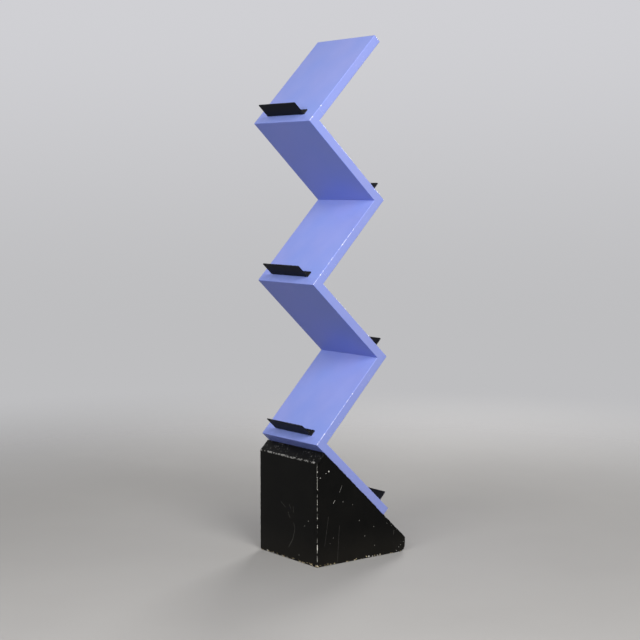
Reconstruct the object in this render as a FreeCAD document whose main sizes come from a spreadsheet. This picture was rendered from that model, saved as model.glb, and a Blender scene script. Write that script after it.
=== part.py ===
import FreeCAD, Part
import math
import os

import Sketcher
from FreeCAD import Vector

# A free-standing magazine shelf. Six painted boards fold to and fro up from a wedge-shaped
# base, and each board carries a bent steel lip near its lower end for magazines to stand on.
# The boards are mitred together on loose tongues, and bolts inside the hollow base hold the
# lowest board down on the base's slope. Nothing on it moves.
#
# Frame: millimetres, origin in the middle of the base's underside, +Z up, front towards -Y.
# Boards, lips and the slope's pieces are drawn flat in their own frame: x across the shelf,
# y up the slope, z out of the upper face. Their placements then tilt them.

SIZES = (
    ("base_width", 304, "outside width of the base"),
    ("base_depth", 359, "front face to toe"),
    ("base_toe_height", 46, "upright toe at the rear"),
    ("base_slope_angle", 43.4, "slope that carries the lowest board, from the floor"),
    ("bevel_run", 30, "depth of the bevel at the top of the front"),
    ("bevel_angle", 45, "the bevel's rise from the floor"),
    ("base_panel", 18, "thickness of the base's panels"),
    ("base_arris", 2, "eased outer edges of the side panels"),
    ("toe_radius", 9, "worn round of the toe's upper edge"),
    ("toe_foot_radius", 14, "worn round of the toe's lower edge"),
    ("toe_block_length", 60, "solid toe block, up the slope"),
    ("bottom_gap", 0.5, "clearance round the loose bottom panel"),
    ("batten_size", 20, "square section of the battens and cleats"),
    ("cleat_low_gap", 40, "toe block to the cleats' lower end"),
    ("cleat_high_gap", 60, "cleats' upper end to the top of the slope"),
    ("ballast_gap", 20, "clearance round the ballast plate"),
    ("ballast_thickness", 25, "thickness of the ballast plate"),
    ("board_width", 290, "width of the boards"),
    ("board_thickness", 28, "thickness of the boards"),
    ("board_pitch", 350, "fold to fold, on the board's middle plane"),
    ("first_board_length", 357, "square end to fold on the lowest board"),
    ("last_board_length", 356, "fold to square end on the highest board"),
    ("board_arris", 1.5, "eased long edges and square ends of the boards"),
    ("fold_angle", 90, "angle between two boards"),
    ("bare_slope", 118, "slope left bare below the lowest board"),
    ("tongue_thickness", 8, "loose tongue in each mitre"),
    ("tongue_depth", 12, "how far a tongue enters each board"),
    ("tongue_shift", 5, "tongue off the board's middle, to the inside of the fold"),
    ("tongue_stop", 25, "tongue's end to the board's edge"),
    ("tongue_glue_room", 0.5, "room for glue past a tongue's edges and ends"),
    ("lip_length", 188, "length of a lip, across the board"),
    ("lip_leg", 51, "how far a lip stands out of the board"),
    ("lip_flange", 22, "flange of a lip, flat on the board"),
    ("lip_gauge", 2.5, "sheet thickness of a lip"),
    ("lip_bend", 2, "inside radius of a lip's bend"),
    ("lip_corner", 4, "rounded free corners of a lip"),
    ("lip_setback", 27, "outer corner of a front fold to its lip"),
    ("rear_lip_setback", 22, "outer corner of a rear fold to its lip"),
    ("first_lip_setback", 5, "square end of the lowest board to its lip"),
    ("lip_screw_inset", 22, "end of a lip to its screw"),
    ("lip_screw_diameter", 3.5, "shank of a lip screw"),
    ("lip_screw_head", 6.5, "head of a lip screw"),
    ("lip_screw_length", 16, "length of a lip screw"),
    ("bottom_screw_inset", 30, "ends of the side battens to the outer bottom screws"),
    ("bottom_screw_spread", 120, "between the two screws in the front batten"),
    ("bottom_screw_diameter", 4, "shank of a bottom screw"),
    ("bottom_screw_head", 8, "head of a bottom screw"),
    ("bottom_screw_length", 34, "length of a bottom screw"),
    ("countersink_angle", 90, "cone of a screw's head"),
    ("screw_point", 4, "length of a screw's point"),
    ("screw_clearance", 0.2, "gap round a screw's shank and past its point"),
    ("recess_span", 3.2, "cross recess, tip to tip"),
    ("recess_slot", 0.9, "cross recess, width of an arm"),
    ("recess_depth", 1.2, "cross recess, depth"),
    ("bolt_diameter", 8, "bolts that hold the lowest board down"),
    ("bolt_head_width", 13, "bolt head, across its flats"),
    ("bolt_head_height", 5.5, "bolt head, height"),
    ("bolt_low_gap", 45, "board's lower end to the lower bolts"),
    ("bolt_high_gap", 105, "upper bolts to the top of the slope"),
    ("bolt_cleat_gap", 34, "cleat to the bolts' middle"),
    ("bolt_clearance", 0.5, "gap round a bolt in the slope panel"),
    ("bolt_end_gap", 3, "bolt's end to the inner end of its insert"),
    ("washer_rim", 5.5, "washer, hole to edge"),
    ("washer_thickness", 1.6, "washer, thickness"),
    ("insert_wall", 2, "threaded insert in the board, wall"),
    ("insert_length", 18, "threaded insert in the board, length"),
    ("insert_clearance", 0.1, "gap past an insert's end, and round a bolt in it"),
)

PLACES = (
    ("half_fold", "Sizes.fold_angle / 2"),
    ("half_board", "Sizes.board_thickness / 2"),
    ("mitre_run", "half_board / tan(half_fold)"),
    ("rear_slope", "180 - Sizes.fold_angle - Sizes.base_slope_angle"),
    ("slope_cos", "cos(Sizes.base_slope_angle)"),
    ("slope_sin", "sin(Sizes.base_slope_angle)"),
    ("front_y", "-Sizes.base_depth / 2"),
    ("toe_y", "Sizes.base_depth / 2"),
    ("apex_y", "front_y + Sizes.bevel_run"),
    ("slope_length", "(toe_y - apex_y) / slope_cos"),
    ("apex_z", "Sizes.base_toe_height + slope_length * slope_sin"),
    ("front_z", "apex_z - Sizes.bevel_run * tan(Sizes.bevel_angle)"),
    ("inner_front_y", "front_y + Sizes.base_panel"),
    ("inner_front_z", "front_z - Sizes.base_panel / tan(45 + Sizes.bevel_angle / 2)"),
    ("apex_half", "90 - (Sizes.bevel_angle + Sizes.base_slope_angle) / 2"),
    ("inner_slope_length", "slope_length - Sizes.base_panel / tan(apex_half)"),
    ("inner_apex_y", "toe_y - inner_slope_length * slope_cos - Sizes.base_panel * slope_sin"),
    ("inner_apex_z",
     "Sizes.base_toe_height + inner_slope_length * slope_sin - Sizes.base_panel * slope_cos"),
    ("block_top_y", "toe_y - Sizes.toe_block_length * slope_cos"),
    ("block_top_z", "Sizes.base_toe_height + Sizes.toe_block_length * slope_sin"),
    ("block_y", "block_top_y - Sizes.base_panel * slope_sin"),
    ("block_z", "block_top_z - Sizes.base_panel * slope_cos"),
    ("inner_half_width", "Sizes.base_width / 2 - Sizes.base_panel"),
    ("bay_half_width", "inner_half_width - Sizes.batten_size"),
    ("batten_y", "inner_front_y + Sizes.batten_size"),
    ("bolt_x", "bay_half_width - Sizes.bolt_cleat_gap"),
    ("tongue_length", "Sizes.board_width - 2 * Sizes.tongue_stop"),
    ("slot_near", "Sizes.tongue_shift - Sizes.tongue_thickness / 2"),
    ("slot_far", "Sizes.tongue_shift + Sizes.tongue_thickness / 2"),
    ("slot_depth", "Sizes.tongue_depth + Sizes.tongue_glue_room"),
    ("lip_screw_x", "Sizes.lip_length / 2 - Sizes.lip_screw_inset"),
    ("lip_screw_y", "(Sizes.lip_gauge + Sizes.lip_bend + Sizes.lip_flange) / 2"),
    ("insert_bore", "Sizes.bolt_diameter / 2 + Sizes.insert_clearance"),
    ("insert_radius", "insert_bore + Sizes.insert_wall"),
    ("washer_bore", "Sizes.bolt_diameter / 2 + Sizes.bolt_clearance"),
    ("board_end_y", "toe_y - Sizes.bare_slope * slope_cos + half_board * slope_sin"),
    ("board_end_z",
     "Sizes.base_toe_height + Sizes.bare_slope * slope_sin + half_board * slope_cos"),
    ("fold_1_y", "board_end_y - Sizes.first_board_length * slope_cos"),
    ("fold_1_z", "board_end_z + Sizes.first_board_length * slope_sin"),
    ("fold_2_y", "fold_1_y + Sizes.board_pitch * cos(rear_slope)"),
    ("fold_2_z", "fold_1_z + Sizes.board_pitch * sin(rear_slope)"),
    ("fold_3_y", "fold_2_y - Sizes.board_pitch * slope_cos"),
    ("fold_3_z", "fold_2_z + Sizes.board_pitch * slope_sin"),
    ("fold_4_y", "fold_3_y + Sizes.board_pitch * cos(rear_slope)"),
    ("fold_4_z", "fold_3_z + Sizes.board_pitch * sin(rear_slope)"),
    ("fold_5_y", "fold_4_y - Sizes.board_pitch * slope_cos"),
    ("fold_5_z", "fold_4_z + Sizes.board_pitch * slope_sin"),
)

BOARDS = range(1, 7)
LAST_BOARD = BOARDS[-1]
FOLDS = range(1, LAST_BOARD)
NEAR = 1e-4

doc = FreeCAD.newDocument("magazine_shelf")
sheet = doc.addObject("Spreadsheet::Sheet", "Sizes")
for row, (alias, value, meaning) in enumerate(SIZES, start=1):
    sheet.set(f"A{row}", meaning)
    sheet.set(f"B{row}", str(value))
    sheet.setAlias(f"B{row}", alias)
doc.recompute()
places = doc.addObject("App::VarSet", "Places")
for name, formula in PLACES:
    places.addProperty("App::PropertyFloat", name)
    places.setExpression(name, formula)
doc.recompute()

parts = []


def new_part(kind, label):
    """Adds one sub-part of the shelf to the document, under its own label."""
    part = doc.addObject(kind, label)
    part.Label = label
    parts.append(part)
    return part


def new_body(label, is_part=True):
    """Adds an empty body, as a sub-part or as the pattern that a group's copies follow."""
    if is_part:
        return new_part("PartDesign::Body", label)
    return doc.addObject("PartDesign::Body", label)


def place(part, y="0", z="0", x="0", yaw="0", roll="0", on=None):
    """Ties a part's placement to the sizes, in the frame or on another part."""
    spot = f"placement(vector({x}; {y}; {z}); rotation({yaw}; 0; {roll}))"
    if on is not None:
        spot = f"{on.Name}.Placement * {spot}"
    part.setExpression("Placement", spot)


def place_on_slope(part):
    """Lays a part's own frame on the base's slope, with its origin at the top of the toe."""
    place(part, y="Places.toe_y", z="Sizes.base_toe_height", yaw="180", roll="Sizes.base_slope_angle")


def new_sketch(body, plane, height="0"):
    """Adds a sketch on one of the body's own planes, lifted off it by a height."""
    sketch = body.newObject("Sketcher::SketchObject", f"{body.Name}_sketch")
    support = next(f for f in body.Origin.OriginFeatures if f.Role == plane)
    sketch.AttachmentSupport = [(support, "")]
    sketch.MapMode = "FlatFace"
    sketch.setExpression("AttachmentOffset.Base.z", height)
    return sketch


def hold(sketch, edge, end, across, up):
    """Fixes a point of the sketch at two expressions, measured from its origin."""
    for kind, formula in (("DistanceX", across), ("DistanceY", up)):
        value = places.evalExpression(formula)
        index = sketch.addConstraint(Sketcher.Constraint(kind, edge, end, float(value)))
        sketch.setExpression(f"Constraints[{index}]", formula)


def outline(body, plane, corners, height="0"):
    """Sketches a closed outline whose corners are pairs of expressions."""
    sketch = new_sketch(body, plane, height)
    spots = []
    for across, up in corners:
        spots.append(Vector(places.evalExpression(across), places.evalExpression(up), 0))
    count = len(spots)
    for i in range(count):
        sketch.addGeometry(Part.LineSegment(spots[i], spots[(i + 1) % count]))
    for i in range(count):
        sketch.addConstraint(Sketcher.Constraint("Coincident", i, 2, (i + 1) % count, 1))
    for i, (across, up) in enumerate(corners):
        hold(sketch, i, 1, across, up)
    return sketch


def circles(body, centres, diameter, height="0"):
    """Sketches equal circles, flat in the body's own frame."""
    sketch = new_sketch(body, "XY_Plane", height)
    for i, (across, up) in enumerate(centres):
        middle = Vector(places.evalExpression(across), places.evalExpression(up), 0)
        radius = float(places.evalExpression(diameter)) / 2
        sketch.addGeometry(Part.Circle(middle, Vector(0, 0, 1), radius))
        index = sketch.addConstraint(Sketcher.Constraint("Diameter", i, 2 * radius))
        sketch.setExpression(f"Constraints[{index}]", diameter)
        hold(sketch, i, 3, across, up)
    return sketch


def pad(body, sketch, length, both_ways=False):
    """Gives a sketch its length, to one side of its plane or half to each."""
    feature = body.newObject("PartDesign::Pad", f"{body.Name}_pad")
    feature.Profile = sketch
    feature.setExpression("Length", length)
    if both_ways:
        feature.SideType = "Symmetric"
    doc.recompute()
    return feature


def cut(body, feature):
    """Runs a cutting feature and makes sure that it took material away."""
    before = feature.BaseFeature.Shape.Volume
    doc.recompute()
    if feature.Shape.Volume > before - NEAR:
        raise RuntimeError(f"{feature.Name} cuts nothing out of {body.Label}")
    return feature


def pocket(body, sketch, depth, upward=False, both_ways=False):
    """Cuts a sketch into the body, down from its plane unless told otherwise."""
    feature = body.newObject("PartDesign::Pocket", f"{body.Name}_pocket")
    feature.Profile = sketch
    feature.setExpression("Length", depth)
    feature.Reversed = upward
    if both_ways:
        feature.SideType = "Symmetric"
    return cut(body, feature)


def countersunk_holes(body, centres, height, diameter, head, upward=False):
    """Drills through the body for countersunk screws whose heads lie flush at a height."""
    sketch = circles(body, centres, f"{diameter} + 2 * Sizes.screw_clearance", height)
    doc.recompute()
    feature = body.newObject("PartDesign::Hole", f"{body.Name}_holes")
    feature.Profile = sketch
    doc.recompute()
    feature.ThreadType = "None"
    feature.DepthType = "ThroughAll"
    feature.HoleCutType = "Countersink"
    feature.Reversed = upward
    feature.setExpression("HoleCutCountersinkAngle", "Sizes.countersink_angle")
    feature.setExpression("Diameter", f"{diameter} + 2 * Sizes.screw_clearance")
    feature.setExpression("HoleCutDiameter", head)
    return cut(body, feature)


def round_edges(body, feature, radius, wanted):
    """Rounds the edges of a feature whose two ends answer a rule."""
    names = []
    for i, edge in enumerate(feature.Shape.Edges, start=1):
        ends = [vertex.Point for vertex in edge.Vertexes]
        if len(ends) == 2 and wanted(ends[0], ends[1]):
            names.append(f"Edge{i}")
    if not names:
        raise RuntimeError(f"{body.Label} has no edge to round")
    fillet = body.newObject("PartDesign::Fillet", f"{body.Name}_round")
    fillet.Base = (feature, names)
    fillet.setExpression("Radius", radius)
    doc.recompute()
    return fillet


def same(a, b):
    return math.isclose(a, b, abs_tol=NEAR)


def size(alias):
    """Reads a driving size out of the sheet."""
    return float(sheet.get(alias))


def copies(label, pattern, spots, on):
    """Groups copies of one fastener, each at a place on the part that holds it."""
    links = []
    for x, y, z in spots:
        link = doc.addObject("App::Link", f"{label}_copy")
        link.LinkedObject = pattern
        link.LinkTransform = False
        place(link, x=x, y=y, z=z, on=on)
        links.append(link)
    group = new_part("Part::Compound", label)
    group.Links = links
    doc.recompute()


def round_toe(body, feature):
    """Rounds the two edges of the toe, the lower one more than the upper one."""

    def at_height(z):
        return lambda a, b: all(same(p.y, places.toe_y) and same(p.z, z) for p in (a, b))

    lower = round_edges(body, feature, "Sizes.toe_foot_radius", at_height(0))
    return round_edges(body, lower, "Sizes.toe_radius", at_height(size("base_toe_height")))


def side_panel(label, outward):
    """Side of the base: the whole wedge outline, with its outer edges eased and its toe worn."""
    body = new_body(label)
    wedge = (
        ("Places.front_y", "0"),
        ("Places.toe_y", "0"),
        ("Places.toe_y", "Sizes.base_toe_height"),
        ("Places.apex_y", "Places.apex_z"),
        ("Places.front_y", "Places.front_z"),
    )
    blank = pad(body, outline(body, "YZ_Plane", wedge), "Sizes.base_panel")
    worn = round_toe(body, blank)
    outer_x = size("base_panel") if outward > 0 else 0
    round_edges(
        body, worn, "Sizes.base_arris",
        lambda a, b: same(a.x, outer_x) and same(b.x, outer_x),
    )
    place(body, x="Places.inner_half_width" if outward > 0 else "-Sizes.base_width / 2")


def cross_panel(label, corners):
    """Panel of the base that runs between the two sides, drawn by its section."""
    body = new_body(label)
    section = outline(body, "YZ_Plane", corners)
    feature = pad(body, section, "2 * Places.inner_half_width", both_ways=True)
    return body, feature


def front_panel():
    """Upright front of the base, mitred to the bevel."""
    cross_panel("base_front", (
        ("Places.front_y", "0"),
        ("Places.inner_front_y", "0"),
        ("Places.inner_front_y", "Places.inner_front_z"),
        ("Places.front_y", "Places.front_z"),
    ))


def bevel_panel():
    """Narrow bevel under the lowest fold, mitred to the front and to the slope."""
    cross_panel("base_bevel", (
        ("Places.front_y", "Places.front_z"),
        ("Places.inner_front_y", "Places.inner_front_z"),
        ("Places.inner_apex_y", "Places.inner_apex_z"),
        ("Places.apex_y", "Places.apex_z"),
    ))


def toe_block():
    """Solid block that fills the toe and stops the slope panel, rounded like the sides."""
    body, block = cross_panel("base_toe_block", (
        ("Places.block_y", "0"),
        ("Places.toe_y", "0"),
        ("Places.toe_y", "Sizes.base_toe_height"),
        ("Places.block_top_y", "Places.block_top_z"),
        ("Places.block_y", "Places.block_z"),
    ))
    round_toe(body, block)


BOLT_ROWS = (
    "Sizes.bare_slope + Sizes.bolt_low_gap",
    "Places.slope_length - Sizes.bolt_high_gap",
)
BOLT_SIDES = ("-Places.bolt_x", "Places.bolt_x")


def slope_panel():
    """Panel under the lowest board, from the toe block to the bevel, drilled for the bolts."""
    body, _ = cross_panel("base_slope", (
        ("Sizes.toe_block_length", "-Sizes.base_panel"),
        ("Places.inner_slope_length", "-Sizes.base_panel"),
        ("Places.slope_length", "0"),
        ("Sizes.toe_block_length", "0"),
    ))
    centres = [(x, row) for row in BOLT_ROWS for x in BOLT_SIDES]
    holes = circles(body, centres, "2 * Places.washer_bore")
    pocket(body, holes, "Sizes.base_panel")
    place_on_slope(body)
    return body


def rectangle(low_x, high_x, low_y, high_y):
    return ((low_x, low_y), (high_x, low_y), (high_x, high_y), (low_x, high_y))


def bottom_screw_spots():
    """Screws up into the battens: three along each side batten and two in the front one."""
    low = "Places.batten_y + Sizes.bottom_screw_inset"
    high = "Places.block_y - Sizes.bottom_screw_inset"
    line = "Places.bay_half_width + Sizes.batten_size / 2"
    side_rows = (low, f"({low} + {high}) / 2", high)
    front_row = "Places.inner_front_y + Sizes.batten_size / 2"
    return {
        "batten_left": [(f"-({line})", row) for row in side_rows],
        "batten_right": [(line, row) for row in side_rows],
        "batten_front": [(f"{sign}Sizes.bottom_screw_spread / 2", front_row) for sign in ("-", "")],
    }


def bottom_panel():
    """Loose bottom that closes the base and comes off to reach the bolts."""
    body = new_body("base_bottom")
    plate = rectangle(
        "-Places.inner_half_width + Sizes.bottom_gap",
        "Places.inner_half_width - Sizes.bottom_gap",
        "Places.inner_front_y + Sizes.bottom_gap",
        "Places.block_y - Sizes.bottom_gap",
    )
    pad(body, outline(body, "XY_Plane", plate), "Sizes.base_panel")
    centres = [spot for spots in bottom_screw_spots().values() for spot in spots]
    countersunk_holes(
        body, centres, "0", "Sizes.bottom_screw_diameter", "Sizes.bottom_screw_head", upward=True,
    )
    return body


def battens():
    """Square battens glued round the inside of the base, on top of the bottom panel."""
    footprints = {
        "batten_front": rectangle(
            "-Places.inner_half_width", "Places.inner_half_width",
            "Places.inner_front_y", "Places.batten_y",
        ),
        "batten_left": rectangle(
            "-Places.inner_half_width", "-Places.bay_half_width",
            "Places.batten_y", "Places.block_y",
        ),
        "batten_right": rectangle(
            "Places.bay_half_width", "Places.inner_half_width",
            "Places.batten_y", "Places.block_y",
        ),
    }
    spots = bottom_screw_spots()
    bore = "Sizes.bottom_screw_diameter + 2 * Sizes.screw_clearance"
    bore_depth = "Sizes.bottom_screw_length - Sizes.base_panel + Sizes.screw_clearance"
    for label, footprint in footprints.items():
        body = new_body(label)
        pad(body, outline(body, "XY_Plane", footprint, "Sizes.base_panel"), "Sizes.batten_size")
        pocket(body, circles(body, spots[label], bore, "Sizes.base_panel"), bore_depth, upward=True)


def cleats():
    """Cleats glued under the slope panel, against each side."""
    low = "Sizes.toe_block_length + Sizes.cleat_low_gap"
    high = "Places.slope_length - Sizes.cleat_high_gap"
    sides = {
        "cleat_left": ("Places.bay_half_width", "Places.inner_half_width"),
        "cleat_right": ("-Places.inner_half_width", "-Places.bay_half_width"),
    }
    for label, (near_x, far_x) in sides.items():
        body = new_body(label)
        footprint = rectangle(near_x, far_x, low, high)
        strip = outline(body, "XY_Plane", footprint, "-Sizes.base_panel - Sizes.batten_size")
        pad(body, strip, "Sizes.batten_size")
        place_on_slope(body)


def ballast_plate():
    """Iron plate bedded on the bottom panel between the battens, to steady the tall shelf."""
    body = new_body("ballast_plate")
    footprint = rectangle(
        "-Places.bay_half_width + Sizes.ballast_gap",
        "Places.bay_half_width - Sizes.ballast_gap",
        "Places.batten_y + Sizes.ballast_gap",
        "Places.block_y - Sizes.ballast_gap",
    )
    pad(body, outline(body, "XY_Plane", footprint, "Sizes.base_panel"), "Sizes.ballast_thickness")


def slot_corners(length=None):
    """Section of a tongue's slot at a board's lower mitre, or at the upper one of a length."""
    corners = []
    for off, into in (
        ("Places.slot_near", "-Places.slot_depth"),
        ("Places.slot_far", "-Places.slot_depth"),
        ("Places.slot_far", "Places.slot_depth"),
        ("Places.slot_near", "Places.slot_depth"),
    ):
        along = f"{off} * cos(Places.half_fold) + {into} * sin(Places.half_fold)"
        out = f"{into} * cos(Places.half_fold) - {off} * sin(Places.half_fold)"
        if length is None:
            corners.append((along, out))
        else:
            corners.append((f"{length} - ({along})", f"-({out})"))
    return corners


def lip_foot(number):
    """Where a lip's outer face stands on its board, measured up the board's middle plane."""
    if number == BOARDS[0]:
        return "Sizes.first_lip_setback"
    setback = "Sizes.rear_lip_setback" if number % 2 else "Sizes.lip_setback"
    return f"{setback} - Places.mitre_run"


def board_length(number):
    if number == BOARDS[0]:
        return "Sizes.first_board_length"
    if number == LAST_BOARD:
        return "Sizes.last_board_length"
    return "Sizes.board_pitch"


def shelf_board(number):
    """One board: mitred at its folds, square at the shelf's two ends, slotted and drilled."""
    body = new_body(f"shelf_board_{number}")
    length = board_length(number)
    is_first = number == BOARDS[0]
    is_last = number == LAST_BOARD
    low_run = "0" if is_first else "Places.mitre_run"
    high_run = "0" if is_last else "Places.mitre_run"
    section = (
        (f"-{low_run}", "Places.half_board"),
        (low_run, "-Places.half_board"),
        (f"{length} + {high_run}", "-Places.half_board"),
        (f"{length} - {high_run}", "Places.half_board"),
    )
    plank = pad(body, outline(body, "YZ_Plane", section), "Sizes.board_width", both_ways=True)
    half_width = size("board_width") / 2
    end_y = float(places.evalExpression(length))

    def is_arris(a, b):
        on_side = same(abs(a.x), half_width) and same(a.x, b.x)
        at_low_end = is_first and same(a.y, 0) and same(b.y, 0)
        at_high_end = is_last and same(a.y, end_y) and same(b.y, end_y)
        return (on_side and same(a.z, b.z)) or at_low_end or at_high_end

    round_edges(body, plank, "Sizes.board_arris", is_arris)
    slot_length = "Places.tongue_length + 2 * Sizes.tongue_glue_room"
    if not is_first:
        pocket(body, outline(body, "YZ_Plane", slot_corners()), slot_length, both_ways=True)
    if not is_last:
        pocket(body, outline(body, "YZ_Plane", slot_corners(length)), slot_length, both_ways=True)
    screw_y = f"{lip_foot(number)} + Places.lip_screw_y"
    centres = [("-Places.lip_screw_x", screw_y), ("Places.lip_screw_x", screw_y)]
    bore = "Sizes.lip_screw_diameter + 2 * Sizes.screw_clearance"
    bore_depth = "Sizes.lip_screw_length - Sizes.lip_gauge + Sizes.screw_clearance"
    pocket(body, circles(body, centres, bore, "Places.half_board"), bore_depth)
    if is_first:
        centres = [(x, f"{row} - Sizes.bare_slope") for row in BOLT_ROWS for x in BOLT_SIDES]
        holes = circles(body, centres, "2 * Places.insert_radius", "-Places.half_board")
        pocket(body, holes, "Sizes.insert_length + Sizes.insert_clearance", upward=True)
        place(body, y="Places.board_end_y", z="Places.board_end_z", yaw="180",
              roll="Sizes.base_slope_angle")
    elif number % 2:
        place(body, y=f"Places.fold_{number - 1}_y", z=f"Places.fold_{number - 1}_z", yaw="180",
              roll="Sizes.base_slope_angle")
    else:
        place(body, y=f"Places.fold_{number - 1}_y", z=f"Places.fold_{number - 1}_z",
              roll="Places.rear_slope")
    return body


def fold_tongue(number, board_above):
    """Loose tongue glued across a mitre, set towards the inside of the fold."""
    body = new_body(f"fold_tongue_{number}")
    section = rectangle(
        "-Sizes.tongue_thickness / 2", "Sizes.tongue_thickness / 2",
        "-Sizes.tongue_depth", "Sizes.tongue_depth",
    )
    pad(body, outline(body, "YZ_Plane", section), "Places.tongue_length", both_ways=True)
    place(
        body,
        y="Sizes.tongue_shift * cos(Places.half_fold)",
        z="-Sizes.tongue_shift * sin(Places.half_fold)",
        roll="-Places.half_fold",
        on=board_above,
    )


def magazine_lip(number, board):
    """Lip bent from sheet steel: a flange screwed to the board and a leg square to it."""
    body = new_body(f"magazine_lip_{number}")
    section = (
        ("0", "0"),
        ("Sizes.lip_flange", "0"),
        ("Sizes.lip_flange", "Sizes.lip_gauge"),
        ("Sizes.lip_gauge", "Sizes.lip_gauge"),
        ("Sizes.lip_gauge", "Sizes.lip_leg"),
        ("0", "Sizes.lip_leg"),
    )
    angle = pad(body, outline(body, "YZ_Plane", section), "Sizes.lip_length", both_ways=True)
    gauge = size("lip_gauge")

    def along(y, z):
        return lambda a, b: all(same(p.y, y) and same(p.z, z) for p in (a, b))

    def is_free_corner(a, b):
        on_leg = same(a.z, size("lip_leg")) and same(b.z, size("lip_leg"))
        on_flange = same(a.y, size("lip_flange")) and same(b.y, size("lip_flange"))
        return same(a.x, b.x) and (on_leg or on_flange)

    inside = round_edges(body, angle, "Sizes.lip_bend", along(gauge, gauge))
    outside = round_edges(body, inside, "Sizes.lip_bend + Sizes.lip_gauge", along(0, 0))
    round_edges(body, outside, "Sizes.lip_corner", is_free_corner)
    centres = [
        ("-Places.lip_screw_x", "Places.lip_screw_y"),
        ("Places.lip_screw_x", "Places.lip_screw_y"),
    ]
    countersunk_holes(
        body, centres, "Sizes.lip_gauge", "Sizes.lip_screw_diameter", "Sizes.lip_screw_head",
    )
    place(body, y=lip_foot(number), z="Places.half_board", on=board)
    return body


def revolve(body, half_section):
    """Turns a half section about the body's own upright axis."""
    sketch = outline(body, "XZ_Plane", half_section)
    feature = body.newObject("PartDesign::Revolution", f"{body.Name}_turn")
    feature.Profile = sketch
    feature.ReferenceAxis = (sketch, ["V_Axis"])
    feature.Angle = 360
    doc.recompute()
    return feature


def countersunk_screw(label, kind, upward=False):
    """Countersunk wood screw with a cross recess, its head flush with its own origin."""
    body = new_body(label, is_part=False)
    shank = f"Sizes.{kind}_diameter / 2"
    head = f"Sizes.{kind}_head / 2"
    length = f"Sizes.{kind}_length"
    sign = "" if upward else "-"
    revolve(body, (
        ("0", "0"),
        (head, "0"),
        (shank, f"{sign}({head} - {shank}) / tan(Sizes.countersink_angle / 2)"),
        (shank, f"{sign}({length} - Sizes.screw_point)"),
        ("0", f"{sign}{length}"),
    ))
    tip = "Sizes.recess_span / 2"
    arm = "Sizes.recess_slot / 2"
    cross = (
        (arm, arm), (tip, arm), (tip, f"-{arm}"), (arm, f"-{arm}"),
        (arm, f"-{tip}"), (f"-{arm}", f"-{tip}"), (f"-{arm}", f"-{arm}"), (f"-{tip}", f"-{arm}"),
        (f"-{tip}", arm), (f"-{arm}", arm), (f"-{arm}", tip), (arm, tip),
    )
    pocket(body, outline(body, "XY_Plane", cross), "Sizes.recess_depth", upward=upward)
    return body


def ring(label, bore, wall, low, high):
    """Plain ring between two heights, such as a washer or an insert."""
    body = new_body(label, is_part=False)
    outer = f"{bore} + {wall}"
    revolve(body, ((bore, low), (outer, low), (outer, high), (bore, high)))
    return body


def tower_bolt():
    """Hexagon bolt, pointing up the slope's normal, its origin on the slope's upper face."""
    body = new_body("tower_bolt", is_part=False)
    seat = "-Sizes.base_panel - Sizes.washer_thickness"
    head_low = f"{seat} - Sizes.bolt_head_height"
    corner = "Sizes.bolt_head_width / 2 / cos(30)"
    hexagon = [(f"{corner} * cos({turn})", f"{corner} * sin({turn})") for turn in range(0, 360, 60)]
    pad(body, outline(body, "XY_Plane", hexagon, head_low), "Sizes.bolt_head_height")
    shank = circles(body, [("0", "0")], "Sizes.bolt_diameter", seat)
    reach = "Sizes.insert_length - Sizes.bolt_end_gap"
    pad(body, shank, f"Sizes.base_panel + Sizes.washer_thickness + {reach}")
    return body


def tower_fixings(slope):
    """Bolts, washers and threaded inserts that hold the lowest board down on the slope."""
    spots = [(x, row, "0") for row in BOLT_ROWS for x in BOLT_SIDES]
    washer = ring(
        "tower_washer", "Places.washer_bore", "Sizes.washer_rim",
        "-Sizes.base_panel - Sizes.washer_thickness", "-Sizes.base_panel",
    )
    insert = ring(
        "tower_insert", "Places.insert_bore", "Sizes.insert_wall", "0", "Sizes.insert_length",
    )
    copies("tower_bolts", tower_bolt(), spots, slope)
    copies("tower_washers", washer, spots, slope)
    copies("tower_inserts", insert, spots, slope)


def build_base():
    side_panel("base_side_right", outward=1)
    side_panel("base_side_left", outward=-1)
    front_panel()
    bevel_panel()
    toe_block()
    slope = slope_panel()
    bottom = bottom_panel()
    battens()
    cleats()
    ballast_plate()
    tower_fixings(slope)
    screw = countersunk_screw("bottom_screw", "bottom_screw", upward=True)
    spots = [(x, y, "0") for places_in in bottom_screw_spots().values() for x, y in places_in]
    copies("bottom_screws", screw, spots, bottom)


def build_tower():
    boards = {number: shelf_board(number) for number in BOARDS}
    for number in FOLDS:
        fold_tongue(number, boards[number + 1])
    screw = countersunk_screw("lip_screw", "lip_screw")
    spots = [
        ("-Places.lip_screw_x", "Places.lip_screw_y", "Sizes.lip_gauge"),
        ("Places.lip_screw_x", "Places.lip_screw_y", "Sizes.lip_gauge"),
    ]
    for number, board in boards.items():
        lip = magazine_lip(number, board)
        copies(f"lip_screws_{number}", screw, spots, lip)


def check():
    """Stops before anything is written if a feature failed or a sub-part has no sound solid."""
    for thing in doc.Objects:
        if "Invalid" in thing.State or "Error" in thing.State:
            raise RuntimeError(f"{thing.Label} failed: {thing.State}")
    for part in parts:
        if part.Shape.isNull() or not part.Shape.isValid() or not part.Shape.Solids:
            raise RuntimeError(f"{part.Label} has no sound solid")


build_base()
build_tower()
doc.recompute()
check()
os.makedirs("parts", exist_ok=True)
for part in parts:
    part.Shape.exportStep(os.path.join("parts", f"{part.Label}.step"))
    print(part.Label, len(part.Shape.Solids), round(part.Shape.Volume))
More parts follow.
